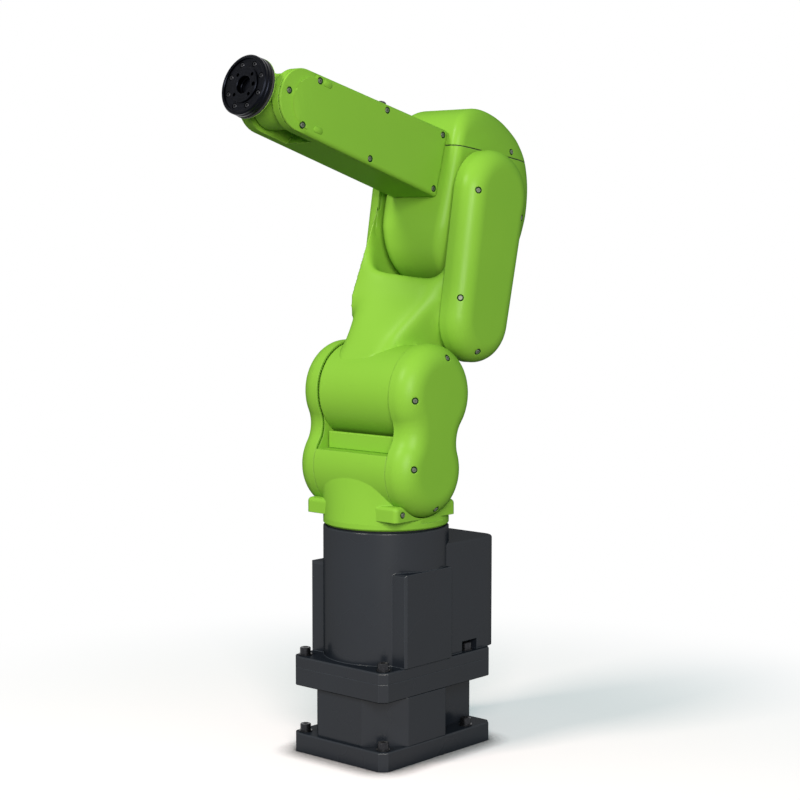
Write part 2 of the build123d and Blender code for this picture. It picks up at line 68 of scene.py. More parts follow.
# Enamel over a casting: a colour coat with no gleam of its own under a thin clear film, whose share
# is the same from every side, faint orange peel from spraying, and paler edges: partly where the coat
# is thin, partly a painted highlight along edges that would catch the light.
# Peel is 1 to 2 mm in life and drawn at that size; the tone drifts over 90 mm.
def enamel(name, colour, deep, thin_coat_and_highlight, roughness, shine, peel_mm):
    cloud_mm, edge_mm, peel_height_mm = 90, 1.4, 0.06
    material = bpy.data.materials.new(name)
    material.use_nodes = True
    tree = material.node_tree
    tree.nodes.clear()
    place = add(tree, "ShaderNodeTexCoord", {}, {})
    peel = add(tree, "ShaderNodeTexNoise", {}, {
        "Vector": place.outputs["Object"], "Scale": 1000 / peel_mm, "Detail": 2.0, "Roughness": 0.45,
    })
    cloud = add(tree, "ShaderNodeTexNoise", {}, {
        "Vector": place.outputs["Object"], "Scale": 1000 / cloud_mm, "Detail": 3.0, "Roughness": 0.5,
    })
    tone = add(tree, "ShaderNodeMix", {"data_type": "RGBA"}, {
        0: cloud.outputs["Fac"], 6: linear(deep), 7: linear(colour),
    })
    soft_edge = add(tree, "ShaderNodeBevel", {"samples": 6}, {"Radius": edge_mm / 1000})
    flat = add(tree, "ShaderNodeNewGeometry", {}, {})
    turn = add(tree, "ShaderNodeVectorMath", {"operation": "DOT_PRODUCT"}, {
        0: soft_edge.outputs["Normal"], 1: flat.outputs["Normal"],
    })
    edge = add(tree, "ShaderNodeMapRange", {}, {
        "Value": turn.outputs["Value"], "From Min": 0.985, "From Max": 0.8,
        "To Min": 0.0, "To Max": 0.45,
    })
    # Paler edges: partly a thin coat, partly a painted highlight.
    worn_and_highlit = add(tree, "ShaderNodeMix", {"data_type": "RGBA"}, {
        0: edge.outputs["Result"], 6: tone.outputs[2], 7: linear(thin_coat_and_highlight),
    })
    sheen = add(tree, "ShaderNodeMapRange", {}, {
        "Value": cloud.outputs["Fac"], "From Min": 0.3, "From Max": 0.7,
        "To Min": roughness - 0.04, "To Max": roughness + 0.05,
    })
    bump = add(tree, "ShaderNodeBump", {}, {
        "Strength": 0.35, "Distance": peel_height_mm / 1000, "Height": peel.outputs["Fac"],
        "Normal": soft_edge.outputs["Normal"],
    })
    colour_coat = add(tree, "ShaderNodeBsdfPrincipled", {}, {
        "Base Color": worn_and_highlit.outputs[2], "Roughness": 0.7, "Specular IOR Level": 0.0,
        "Normal": bump.outputs["Normal"],
    })
    clear_coat = add(tree, "ShaderNodeBsdfAnisotropic", {}, {
        "Roughness": sheen.outputs["Result"], "Normal": bump.outputs["Normal"],
    })
    film = add(tree, "ShaderNodeMixShader", {}, {
        0: shine, 1: colour_coat.outputs[0], 2: clear_coat.outputs[0],
    })
    add(tree, "ShaderNodeOutputMaterial", {}, {"Surface": film.outputs[0]})
    return material


slate_enamel = enamel(
    "slate_polyurethane_enamel", "#1E222A", "#191C23", "#4A505A",
    roughness=0.27, shine=0.035, peel_mm=1.6,
)
for name in ("sensor_bottom_plate", "sensor_body", "sensor_top_plate", "base_casting"):
    nodes[name].material_slots[0].material = slate_enamel

# Base bolts: four M8 socket-head screws in each plate's corners, on plain washers.
# Steel with a black-oxide finish, turned heads with a rolled edge and a broached hexagon.


def grained(name, dark, pale, metallic, smooth, rough, grain_mm, bump_mm):
    """A grained finish; grain_mm is the grain's size along X, Y and Z, and long grain looks brushed."""
    material = bpy.data.materials.new(name)
    material.use_nodes = True
    tree = material.node_tree
    tree.nodes.clear()
    place = add(tree, "ShaderNodeTexCoord", {}, {})
    scaled = add(tree, "ShaderNodeMapping", {}, {
        "Vector": place.outputs["Object"], "Scale": [1000 / size for size in grain_mm],
    })
    grain = add(tree, "ShaderNodeTexNoise", {}, {
        "Vector": scaled.outputs["Vector"], "Scale": 1.0, "Detail": 3.0,
    })
    tone = add(tree, "ShaderNodeMix", {"data_type": "RGBA"}, {
        0: grain.outputs["Fac"], 6: linear(dark), 7: linear(pale),
    })
    gloss = add(tree, "ShaderNodeMapRange", {}, {
        "Value": grain.outputs["Fac"], "From Min": 0.3, "From Max": 0.7,
        "To Min": smooth, "To Max": rough,
    })
    bump = add(tree, "ShaderNodeBump", {}, {
        "Strength": 0.5, "Distance": bump_mm / 1000, "Height": grain.outputs["Fac"],
    })
    shader = add(tree, "ShaderNodeBsdfPrincipled", {}, {
        "Base Color": tone.outputs[2], "Roughness": gloss.outputs["Result"], "Metallic": metallic,
        "Normal": bump.outputs["Normal"],
    })
    add(tree, "ShaderNodeOutputMaterial", {}, {"Surface": shader.outputs["BSDF"]})
    return material


# Black oxide on steel: a dark oily film with a cloudy gloss.
black_oxide = grained(
    "black_oxide_steel", "#131416", "#3A3B40", 0.85, 0.22, 0.42, (1.2, 1.2, 1.2), 0.02,
)


def named_inputs(tree, kinds, result):
    """A tree's inputs by kind and name, and the name of the geometry that it gives."""
    for kind, names in kinds.items():
        for name in names:
            tree.interface.new_socket(name, in_out="INPUT", socket_type="NodeSocket" + kind)
    tree.interface.new_socket(result, in_out="OUTPUT", socket_type="NodeSocketGeometry")
    return add(tree, "NodeGroupInput", {}, {}).outputs


def screw_tree():
    """Socket screws: a turned head with a hexagon in it, on a washer, set on every point of a mesh."""
    tree = bpy.data.node_groups.new("socket_screws", "GeometryNodeTree")
    given = named_inputs(tree, {
        "Geometry": ["Points"],
        "Float": [
            "Head radius", "Head height", "Edge", "Socket radius", "Socket depth", "Washer radius",
            "Washer height",
        ],
        "Material": ["Steel", "Seat"],
    }, "Screws")
    straight = add(tree, "ShaderNodeMath", {"operation": "SUBTRACT"}, {
        0: given["Head height"], 1: given["Edge"],
    })
    crown = add(tree, "ShaderNodeMath", {"operation": "SUBTRACT"}, {
        0: given["Head radius"], 1: given["Edge"],
    })
    barrel = add(tree, "GeometryNodeMeshCone", {}, {
        "Vertices": 32, "Radius Top": given["Head radius"], "Radius Bottom": given["Head radius"],
        "Depth": straight.outputs[0],
    })
    top = add(tree, "GeometryNodeMeshCone", {}, {
        "Vertices": 32, "Radius Top": crown.outputs[0], "Radius Bottom": given["Head radius"],
        "Depth": given["Edge"],
    })
    lift = add(tree, "ShaderNodeCombineXYZ", {}, {"Z": straight.outputs[0]})
    top = add(tree, "GeometryNodeTransform", {}, {
        "Geometry": top.outputs["Mesh"], "Translation": lift.outputs[0],
    })
    head = add(tree, "GeometryNodeMeshBoolean", {"operation": "UNION"}, {
        "Mesh 2": barrel.outputs["Mesh"],
    })
    tree.links.new(top.outputs["Geometry"], head.inputs["Mesh 2"])
    double = add(tree, "ShaderNodeMath", {"operation": "MULTIPLY"}, {
        0: given["Socket depth"], 1: 2.0,
    })
    hexagon = add(tree, "GeometryNodeMeshCylinder", {}, {
        "Vertices": 6, "Radius": given["Socket radius"], "Depth": double.outputs[0],
    })
    raise_hex = add(tree, "ShaderNodeCombineXYZ", {}, {"Z": given["Head height"]})
    hexagon = add(tree, "GeometryNodeTransform", {}, {
        "Geometry": hexagon.outputs["Mesh"], "Translation": raise_hex.outputs[0],
    })
    head = add(tree, "GeometryNodeMeshBoolean", {"operation": "DIFFERENCE"}, {
        "Mesh 1": head.outputs["Mesh"], "Mesh 2": hexagon.outputs["Geometry"],
    })
    on_washer = add(tree, "ShaderNodeCombineXYZ", {}, {"Z": given["Washer height"]})
    head = add(tree, "GeometryNodeTransform", {}, {
        "Geometry": head.outputs["Mesh"], "Translation": on_washer.outputs[0],
    })
    washer = add(tree, "GeometryNodeMeshCone", {}, {
        "Vertices": 32, "Radius Top": given["Washer radius"], "Radius Bottom": given["Washer radius"],
        "Depth": given["Washer height"],
    })
    washer = add(tree, "GeometryNodeStoreNamedAttribute", {
        "data_type": "BOOLEAN", "domain": "FACE",
    }, {"Geometry": washer.outputs["Mesh"], "Name": "seat", "Value": True})
    whole = add(tree, "GeometryNodeJoinGeometry", {}, {"Geometry": head.outputs["Geometry"]})
    tree.links.new(washer.outputs["Geometry"], whole.inputs["Geometry"])
    facing = add(tree, "GeometryNodeInputNamedAttribute", {"data_type": "FLOAT_VECTOR"}, {
        "Name": "facing",
    })
    stand = add(tree, "FunctionNodeAlignRotationToVector", {"axis": "Z"}, {
        "Vector": facing.outputs["Attribute"],
    })
    each = add(tree, "GeometryNodeInstanceOnPoints", {}, {
        "Points": given["Points"], "Instance": whole.outputs["Geometry"],
        "Rotation": stand.outputs["Rotation"],
    })
    plain = add(tree, "GeometryNodeRealizeInstances", {}, {"Geometry": each.outputs["Instances"]})
    coated = add(tree, "GeometryNodeSetMaterial", {}, {
        "Geometry": plain.outputs["Geometry"], "Material": given["Steel"],
    })
    seat = add(tree, "GeometryNodeInputNamedAttribute", {"data_type": "BOOLEAN"}, {"Name": "seat"})
    coated = add(tree, "GeometryNodeSetMaterial", {}, {
        "Geometry": coated.outputs["Geometry"], "Selection": seat.outputs["Attribute"],
        "Material": given["Seat"],
    })
    add(tree, "NodeGroupOutput", {}, {"Screws": coated.outputs["Geometry"]})
    return tree


socket_screws = screw_tree()
# Edges that turn by more than this stay crisp.
crisp = math.radians(35)


def evaluated_mesh(piece):
    """The plain mesh that an object's modifiers give; the modifiers are then taken off."""
    bpy.context.view_layer.update()
    evaluated = piece.evaluated_get(bpy.context.evaluated_depsgraph_get())
    mesh = bpy.data.meshes.new_from_object(evaluated)
    piece.modifiers.clear()
    return mesh


def by_nodes(piece, tree, inputs):
    """What a tree of nodes makes of an object, as that object's plain mesh."""
    bpy.context.scene.collection.objects.link(piece)
    modifier = piece.modifiers.new(tree.name, "NODES")
    modifier.node_group = tree
    for item in tree.interface.items_tree:
        if item.in_out == "INPUT" and item.name in inputs:
            modifier[item.identifier] = inputs[item.name]
    piece.data = evaluated_mesh(piece)
    piece.data.shade_smooth()
    piece.data.set_sharp_from_angle(angle=crisp)


def screws(name, body, spots, sizes_mm, steel, seat):
    """Screws on a body at spots, each a place in metres and the way its head faces."""
    mesh = bpy.data.meshes.new(name)
    mesh.from_pydata([place for place, way in spots], [], [])
    facing = mesh.attributes.new("facing", "FLOAT_VECTOR", "POINT")
    facing.data.foreach_set("vector", [c for place, way in spots for c in way])
    piece = bpy.data.objects.new(name, mesh)
    inputs = {size: value / 1000 for size, value in sizes_mm.items()}
    by_nodes(piece, socket_screws, {**inputs, "Steel": steel, "Seat": seat})
    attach(piece, body)
    return piece


m8_cap = {
    "Head radius": 6.5, "Head height": 8.0, "Edge": 0.8, "Socket radius": 3.5, "Socket depth": 4.0,
    "Washer radius": 8.0, "Washer height": 1.6,
}
bottom_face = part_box("sensor_bottom_plate")[1].z
foot_flange_height = 0.0135
flange_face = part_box("sensor_top_plate")[1].z + foot_flange_height
up = (0.0, 0.0, 1.0)
bolt_x, bolt_y = 0.075, 0.063
corners = [(x, y) for x in (-bolt_x, bolt_x) for y in (-bolt_y, bolt_y)]
for name, face in (("base_bolts", bottom_face), ("flange_bolts", flange_face)):
    spots = [((x, y, face), up) for x, y in corners]
    screws(name, "base", spots, m8_cap, black_oxide, black_oxide)

# Terminal panel on the back of the column's box: one flat plate let into the casting.
# Brushed and clear-anodised aluminium, held by four small screws in its corners.

# Brushed aluminium: fine level lines. Real lines are 0.1 mm and are drawn 0.6 mm wide to show.
brushed_aluminium = grained(
    "brushed_anodised_aluminium", "#6B7074", "#8C9195", 1.0, 0.32, 0.48, (0.6, 30.0, 0.6), 0.01,
)
nodes["terminal_panel"].material_slots[0].material = brushed_aluminium

# Zinc plating: pale, slightly cloudy and bluish.
zinc_steel = grained(
    "zinc_plated_steel", "#6F7470", "#B9BDB8", 1.0, 0.25, 0.42, (1.5, 1.5, 1.5), 0.01,
)
m3_low = {
    "Head radius": 2.6, "Head height": 1.6, "Edge": 0.4, "Socket radius": 1.2, "Socket depth": 0.9,
    "Washer radius": 3.4, "Washer height": 0.4,
}
panel_low, panel_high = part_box("terminal_panel")
panel_middle = (panel_low + panel_high) / 2
panel_screw_y, panel_screw_z = 0.0445, 0.0475
panel_places = [
    (panel_low.x, panel_middle.y + across * panel_screw_y, panel_middle.z + over * panel_screw_z)
    for across in (-1, 1) for over in (-1, 1)
]
screws(
    "terminal_panel_screws", "base", [(place, (-1.0, 0.0, 0.0)) for place in panel_places],
    m3_low, zinc_steel, zinc_steel,
)

# Power socket: a moulded housing with rows of round contacts standing in its mouth.
# Black glass-filled polyamide; the contacts are turned brass, gold plated and pressed in.

# Glass-filled polyamide: dull black with a fine pebble from the mould.
polyamide = grained(
    "black_glass_filled_polyamide", "#111214", "#212225", 0.0, 0.45, 0.6, (0.7, 0.7, 0.7), 0.03,
)
nodes["power_socket"].material_slots[0].material = polyamide
# Gold plating: warm and smooth, with faint clouds.
gold_contacts = grained(
    "gold_plated_brass", "#8E6F2A", "#D2AE58", 1.0, 0.2, 0.34, (1.0, 1.0, 1.0), 0.005,
)


def pin_tree():
    """Round-ended contacts in rows and columns."""
    tree = bpy.data.node_groups.new("contact_pins", "GeometryNodeTree")
    given = named_inputs(tree, {
        "Geometry": ["Ground"], "Int": ["Columns", "Rows"],
        "Float": ["Width", "Height", "Pin radius", "Pin length"], "Material": ["Metal"],
    }, "Pins")
    grid = add(tree, "GeometryNodeMeshGrid", {}, {
        "Size X": given["Width"], "Size Y": given["Height"],
        "Vertices X": given["Columns"], "Vertices Y": given["Rows"],
    })
    shank = add(tree, "GeometryNodeMeshCone", {}, {
        "Vertices": 16, "Radius Top": given["Pin radius"], "Radius Bottom": given["Pin radius"],
        "Depth": given["Pin length"],
    })
    ball = add(tree, "GeometryNodeMeshUVSphere", {}, {
        "Segments": 16, "Rings": 8, "Radius": given["Pin radius"],
    })
    tip = add(tree, "ShaderNodeCombineXYZ", {}, {"Z": given["Pin length"]})
    ball = add(tree, "GeometryNodeTransform", {}, {
        "Geometry": ball.outputs["Mesh"], "Translation": tip.outputs[0],
    })
    pin = add(tree, "GeometryNodeJoinGeometry", {}, {"Geometry": shank.outputs["Mesh"]})
    tree.links.new(ball.outputs["Geometry"], pin.inputs["Geometry"])
    each = add(tree, "GeometryNodeInstanceOnPoints", {}, {
        "Points": grid.outputs["Mesh"], "Instance": pin.outputs["Geometry"],
    })
    plain = add(tree, "GeometryNodeRealizeInstances", {}, {"Geometry": each.outputs["Instances"]})
    plated = add(tree, "GeometryNodeSetMaterial", {}, {
        "Geometry": plain.outputs["Geometry"], "Material": given["Metal"],
    })
    add(tree, "NodeGroupOutput", {}, {"Pins": plated.outputs["Geometry"]})
    return tree


def grown(name, body, tree, inputs, placed):
    """What a tree of nodes makes by itself, made plain and moved to its place on a body."""
    piece = bpy.data.objects.new(name, bpy.data.meshes.new(name))
    by_nodes(piece, tree, inputs)
    piece.data.transform(placed)
    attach(piece, body)
    return piece


# The panel's own axes: x to the arm's right, y up and z out of the panel, from its middle.
on_panel = Matrix((
    (0.0, 0.0, -1.0, panel_low.x),
    (-1.0, 0.0, 0.0, panel_middle.y),
    (0.0, 1.0, 0.0, panel_middle.z),
    (0.0, 0.0, 0.0, 1.0),
))
socket_drop = 0.022
mouth_floor = 0.004
pins = {
    "Columns": 8, "Rows": 3, "Width": 0.035, "Height": 0.013,
    "Pin radius": 0.0011, "Pin length": 0.0042, "Metal": gold_contacts,
}
grown(
    "power_socket_contacts", "base", pin_tree(), pins,
    on_panel @ Matrix.Translation((0.0, -socket_drop, mouth_floor)),
)

# Signal socket's screw cap: a moulded cap with a ribbed rim for the fingers and a dished top.
# Black glass-filled polyamide, screwed over the socket when no lead is in it.


def lathe(turnings):
    """Turned shapes about Z: each is how many sides it has and its radius and height pairs in mm."""
    shape = bmesh.new()
    for sides, profile_mm in turnings:
        ring = [shape.verts.new((radius / 1000, 0.0, z / 1000)) for radius, z in profile_mm]
        line = [shape.edges.new(pair) for pair in zip(ring, ring[1:])]
        bmesh.ops.spin(
            shape, geom=ring + line, cent=(0, 0, 0), axis=(0, 0, 1), angle=math.tau, steps=sides,
            use_merge=True,
        )
    bmesh.ops.remove_doubles(shape, verts=shape.verts, dist=1e-6)
    bmesh.ops.dissolve_degenerate(shape, edges=shape.edges, dist=1e-7)
    bmesh.ops.recalc_face_normals(shape, faces=shape.faces)
    return shape


def as_mesh(name, shape):
    """A worked shape as a mesh; the shape is then let go."""
    mesh = bpy.data.meshes.new(name)
    shape.to_mesh(mesh)
    shape.free()
    return mesh


def linked(name, mesh, material, sharp=crisp):
    """A finished mesh as an object in the scene, smooth but for its sharp edges."""
    mesh.name = name
    mesh.materials.clear()
    mesh.materials.append(material)
    mesh.shade_smooth()
    mesh.set_sharp_from_angle(angle=sharp)
    piece = bpy.data.objects.new(name, mesh)
    bpy.context.scene.collection.objects.link(piece)
    return piece


def turned(name, body, placed, turnings, material):
    """A turned piece, moved to its place on a body."""
    shape = lathe(turnings)
    shape.transform(placed)
    piece = linked(name, as_mesh(name, shape), material)
    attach(piece, body)
    return piece


def rib_tree():
    """Upright ribs round a rim."""
    tree = bpy.data.node_groups.new("cap_ribs", "GeometryNodeTree")
    given = named_inputs(tree, {
        "Geometry": ["Ground"], "Int": ["Count"],
        "Float": ["Rim radius", "Rib depth", "Rib width", "Rib length"], "Material": ["Plastic"],
    }, "Ribs")
    rim = add(tree, "GeometryNodeMeshCircle", {}, {
        "Vertices": given["Count"], "Radius": given["Rim radius"],
    })
    size = add(tree, "ShaderNodeCombineXYZ", {}, {
        "X": given["Rib depth"], "Y": given["Rib width"], "Z": given["Rib length"],
    })
    rib = add(tree, "GeometryNodeMeshCube", {}, {"Size": size.outputs[0]})
    where = add(tree, "GeometryNodeInputPosition", {}, {})
    outward = add(tree, "FunctionNodeAlignRotationToVector", {"axis": "X"}, {
        "Vector": where.outputs["Position"],
    })
    each = add(tree, "GeometryNodeInstanceOnPoints", {}, {
        "Points": rim.outputs["Mesh"], "Instance": rib.outputs["Mesh"],
        "Rotation": outward.outputs["Rotation"],
    })
    plain = add(tree, "GeometryNodeRealizeInstances", {}, {"Geometry": each.outputs["Instances"]})
    moulded = add(tree, "GeometryNodeSetMaterial", {}, {
        "Geometry": plain.outputs["Geometry"], "Material": given["Plastic"],
    })
    add(tree, "NodeGroupOutput", {}, {"Ribs": moulded.outputs["Geometry"]})
    return tree


fitting_rise = 0.024
cap_at = on_panel @ Matrix.Translation((0.0, fitting_rise, 0.0))
cap = turned("signal_socket_cap_body", "base", cap_at, [(64, [
    (0, 7.4), (6.0, 7.4), (6.6, 8.0), (7.2, 9.0), (8.4, 9.0), (9.3, 8.1), (9.3, 0.0), (0, 0.0),
])], polyamide)
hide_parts("signal_socket_cap")
ribs = {
    "Count": 30, "Rim radius": 0.0092, "Rib depth": 0.0015, "Rib width": 0.0009,
    "Rib length": 0.0062, "Plastic": polyamide,
}
rib_middle = 0.0041
grown(
    "signal_socket_cap_ribs", "base", rib_tree(), ribs,
    cap_at @ Matrix.Translation((0.0, 0.0, rib_middle)),
)

# Air ports: push-in fittings, each a hexagon, a round barrel and a release collar.
# Turned brass with nickel plate; the collar is black polyamide and slides in the barrel.

# Nickel plate: bright and warm, with faint clouds.
nickel = grained(
    "nickel_plated_brass", "#A3A093", "#D3CFC1", 1.0, 0.16, 0.3, (2.0, 2.0, 2.0), 0.005,
)
port_aside = 0.030
for side, name in ((-1, "air_port_supply"), (1, "air_port_exhaust")):
    port_at = on_panel @ Matrix.Translation((side * port_aside, fitting_rise, 0.0))
    fitting = turned(name + "_fitting", "base", port_at, [
        (6, [(0, 0.0), (6.4, 0.0), (6.4, 4.0), (5.9, 4.6), (0, 4.6)]),
        (48, [
            (0, 3.0), (3.5, 3.0), (3.5, 10.0), (4.9, 10.0), (5.3, 9.6), (5.3, 6.4), (4.8, 6.0),
            (4.8, 4.2), (0, 4.2),
        ]),
    ], nickel)
    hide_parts(name)
    turned(name + "_collar", "base", port_at, [
        (48, [
            (3.5, 9.0), (3.5, 11.8), (3.7, 12.0), (4.4, 12.0), (4.6, 11.8), (4.6, 10.4), (4.0, 10.2),
            (4.0, 9.0), (3.5, 9.0),
        ]),
    ], polyamide)

# Shaft seal: the thin lip between column and turret that keeps dust off the turning bearing.
# Moulded nitrile rubber, pressed into the column's rim.

# Nitrile rubber: deep dull black with a fine bloom.
nitrile = grained("nitrile_rubber", "#0B0C0D", "#191A1B", 0.0, 0.6, 0.8, (0.9, 0.9, 0.9), 0.03)
nodes["turret_seal"].material_slots[0].material = nitrile

# Turret and forearm castings: the turning housing under the shoulder and the forearm's square tube.
# Cast aluminium, sprayed with bright safety-green enamel; the moulded covers are screwed on later.
green_enamel = enamel(
    "green_polyurethane_enamel", "#86B73D", "#7FB237", "#A2CB66",
    roughness=0.36, shine=0.012, peel_mm=1.6,
)
for name in ("turret_casting", "shoulder_guard_strip", "forearm_shell"):
    nodes[name].material_slots[0].material = green_enamel

# Lower arm: a leaning trunk that spreads from a round hub into a fork, hollowed for the elbow's swing.
# One aluminium casting with soft fillets; the hub is turned smooth, then all is sprayed green.
shoulder_axis = Vector((0.0, 0.0, 0.433))
elbow_axis = Vector((-0.10159, 0.0, 0.672331))
across_body = Matrix.Rotation(-math.pi / 2, 4, "X")


def cut(piece, cutter):
    """The mesh of a piece with a cutter taken away; the new faces get the cutter's material."""
    modifier = piece.modifiers.new("cut", "BOOLEAN")
    modifier.operation = "DIFFERENCE"
    modifier.solver = "EXACT"
    modifier.material_mode = "TRANSFER"
    modifier.object = cutter
    mesh = evaluated_mesh(piece)
    bpy.data.objects.remove(cutter)
    return mesh


def skinned(shape, loops):
    """Faces between neighbouring loops of points, and over the first and the last loop."""
    for low, high in zip(loops, loops[1:]):
        for k in range(len(low)):
            after = (k + 1) % len(low)
            shape.faces.new((low[k], low[after], high[after], high[k]))
    shape.faces.new(loops[0])
    shape.faces.new(loops[-1])
    bmesh.ops.recalc_face_normals(shape, faces=shape.faces)


turned("lower_arm_hub", "lower_arm", Matrix.Translation(shoulder_axis) @ across_body, [(160, [
    (0, -56.4), (56.2, -56.4), (57, -55.6), (57, 55.6), (56.2, 56.4), (0, 56.4),
])], green_enamel)

# The fork's floor: the tines' own outline from side to side, hollowed to the elbow's sweep.
# Each end is given by its place across the arm in metres, its foot's set-back and radius in mm.
lean = math.radians(23)
fork_ends = ((-0.0590, -9.0, 51.0), (0.0595, -40.0, 47.0))
fork_head, head_radius, foot_height = (-10.0, 256.0), 51.5, 114.0
arc_steps = 24
shape = bmesh.new()
ends = []
for y, foot_back, foot_radius in fork_ends:
    end = []
    arcs = ((fork_head, head_radius, -8, 172), ((foot_back, foot_height), foot_radius, 172, 352))
    for middle, radius, first, last in arcs:
        for step in range(arc_steps + 1):
            turn = math.radians(first + (last - first) * step / arc_steps)
            p, q = middle[0] + radius * math.cos(turn), middle[1] + radius * math.sin(turn)
            end.append(shape.verts.new((
                (p * math.cos(lean) - q * math.sin(lean)) / 1000, y,
                shoulder_axis.z + (p * math.sin(lean) + q * math.cos(lean)) / 1000,
            )))
    ends.append(end)
skinned(shape, ends)
filler = linked("fork_floor", as_mesh("fork_floor", shape), green_enamel)
# The sweep is a wheel about the elbow's axis with a flat rim and rounded sides, in mm.
sweep_radius, sweep_flat, sweep_rise, sweep_side, sweep_end = 123.5, 34.5, 70.0, 24.0, 62.0
flank = []
for step in range(arc_steps + 1):
    turn = math.radians(90 * step / arc_steps)
    flank.append((
        sweep_radius - sweep_rise * (1 - math.cos(turn)), sweep_flat + sweep_side * math.sin(turn),
    ))
lip_radius, lip_side = flank[-1]
flank += [(lip_radius, (lip_side + sweep_end) / 2), (lip_radius, sweep_end)]
other_flank = [(radius, -y) for radius, y in flank[:0:-1]]
shape = lathe([(192, [(0, -sweep_end)] + other_flank + flank + [(0, sweep_end)])])
shape.transform(Matrix.Translation(elbow_axis) @ across_body)
hollowed = cut(filler, linked("elbow_sweep", as_mesh("elbow_sweep", shape), green_enamel))
bpy.data.objects.remove(filler)
shape = bmesh.new()
shape.from_mesh(nodes["lower_arm_casting"].data)
shape.from_mesh(hollowed)
bmesh.ops.remove_doubles(shape, verts=shape.verts, dist=1e-6)
fork = linked("lower_arm_fork", as_mesh("lower_arm_fork", shape), green_enamel)
skin_grain = 0.0019
remesh = fork.modifiers.new("skin", "REMESH")
remesh.mode = "VOXEL"
remesh.voxel_size = skin_grain
fork.data = evaluated_mesh(fork)

# The pattern maker's fillets: the skin is relaxed on the trunk and in the fork,
# and left as it is on the tines' sides.
hub_edge, hub_blend = 0.0575, 0.010
tine_face, tine_blend = 0.0585, 0.003
relax_passes, relax_share = 90, 0.6
skin = fork.data
places = np.empty(len(skin.vertices) * 3)
skin.vertices.foreach_get("co", places)
places = places.reshape(-1, 3)
pairs = np.empty(len(skin.edges) * 2, dtype=np.int64)
skin.edges.foreach_get("vertices", pairs)
pairs = pairs.reshape(-1, 2)
from_hub = np.hypot(places[:, 0] - shoulder_axis.x, places[:, 2] - shoulder_axis.z)
off_hub = np.clip((from_hub - hub_edge) / hub_blend, 0.0, 1.0)
off_sides = np.clip((tine_face - np.abs(places[:, 1])) / tine_blend, 0.0, 1.0)
ease = off_hub * off_sides
links = np.bincount(pairs.ravel(), minlength=len(places))
for turn in range(relax_passes):
    total = np.stack([
        np.bincount(pairs[:, 0], places[pairs[:, 1], axis], len(places))
        + np.bincount(pairs[:, 1], places[pairs[:, 0], axis], len(places))
        for axis in range(3)
    ], axis=1)
    places += relax_share * ease[:, None] * (total / links[:, None] - places)

# The skin is drawn in under the turned hub, so that the two never lie in one face.
hub_reach, hub_fade, sunk_round, sunk_aside = 0.0574, 0.0004, 0.0008, 0.0012
under_hub = np.clip((hub_reach - from_hub) / hub_fade, 0.0, 1.0) * sunk_round
way = (places - np.array(shoulder_axis)) * np.array((1.0, 0.0, 1.0))
places -= under_hub[:, None] * way / np.maximum(from_hub, 1e-6)[:, None]
places[:, 1] -= np.sign(places[:, 1]) * sunk_aside * (from_hub < hub_reach)
skin.vertices.foreach_set("co", places.ravel())
skin.update()
skin.shade_smooth()
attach(fork, "lower_arm")
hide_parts("lower_arm_casting")

# Elbow: a domed housing that swings in the fork, with a cover that meets it in a fine line.
# Cast aluminium and a moulded cover in the same green enamel, with a black rubber gasket between.
elbow_half = 53.5
rise = math.radians(15)
# Along and across the forearm from the elbow's axis, then how far each edge rounds in and
# sideways, in mm.
elbow_rim = np.array((
    (46, -45, 15, 15), (46, 0, 13, 13), (46, 40, 13, 13), (45, 66, 14, 14), (39, 82, 20, 16),
    (26, 93.5, 28, 17), (8, 101, 36, 18), (-14, 103.5, 42, 18), (-38, 101.5, 46, 18),
    (-60, 95.5, 48, 18), (-80, 86, 48, 18), (-97.5, 70.5, 48, 18), (-109.5, 49.5, 48, 18),
    (-116.2, 28.5, 48, 18), (-119.6, 5, 48, 18), (-119, -13, 48, 18), (-115.5, -34, 48, 18),
    (-107, -56, 48, 19), (-95.5, -74.5, 47, 21), (-79, -91.5, 46, 23), (-56, -105.5, 46, 24),
    (-30, -113, 46, 25), (-4, -112, 44, 25), (18, -103, 38, 24), (34, -87, 30, 22),
    (43.3, -66, 21, 18),
))
rim_steps, dome_steps = 10, 14
dome_middle = np.array((-35.0, 0.0))
samples = []
for k in range(len(elbow_rim)):
    before, here, after, beyond = (elbow_rim[(k + step) % len(elbow_rim)] for step in (-1, 0, 1, 2))
    for step in range(rim_steps):
        t = step / rim_steps
        samples.append(0.5 * (
            2 * here + (after - before) * t + (2 * before - 5 * here + 4 * after - beyond) * t ** 2
            + (3 * here - before - 3 * after + beyond) * t ** 3
        ))
samples = np.array(samples)
rim = samples[:, :2]
ahead = np.roll(rim, -1, axis=0) - np.roll(rim, 1, axis=0)
inward = np.stack([-ahead[:, 1], ahead[:, 0]], axis=1) / np.linalg.norm(ahead, axis=1)[:, None]
to_middle = dome_middle - rim
to_middle /= np.linalg.norm(to_middle, axis=1)[:, None]
to_middle /= np.sum(inward * to_middle, axis=1)[:, None]
at_elbow = Matrix((
    (math.cos(rise), 0.0, -math.sin(rise), elbow_axis.x), (0.0, 1.0, 0.0, 0.0),
    (math.sin(rise), 0.0, math.cos(rise), elbow_axis.z), (0.0, 0.0, 0.0, 1.0),
))
shape = bmesh.new()
loops = []
for side, turns in ((1, range(dome_steps, -1, -1)), (-1, range(dome_steps + 1))):
    for step in turns:
        turn = math.radians(90 * step / dome_steps)
        line = rim + to_middle * (samples[:, 2] * (1 - math.cos(turn)))[:, None]
        y = side * (elbow_half - samples[:, 3] * (1 - math.sin(turn)))
        loops.append([
            shape.verts.new(at_elbow @ Vector((p / 1000, w / 1000, q / 1000)))
            for (p, q), w in zip(line, y)
        ])
skinned(shape, loops)
seam_at = at_elbow @ Vector((0.0518, 0.0, 0.0426))
seam_up = (at_elbow.to_3x3() @ Vector((0.1419, 0.0, 0.9899))).normalized()
half_gap = 0.0006
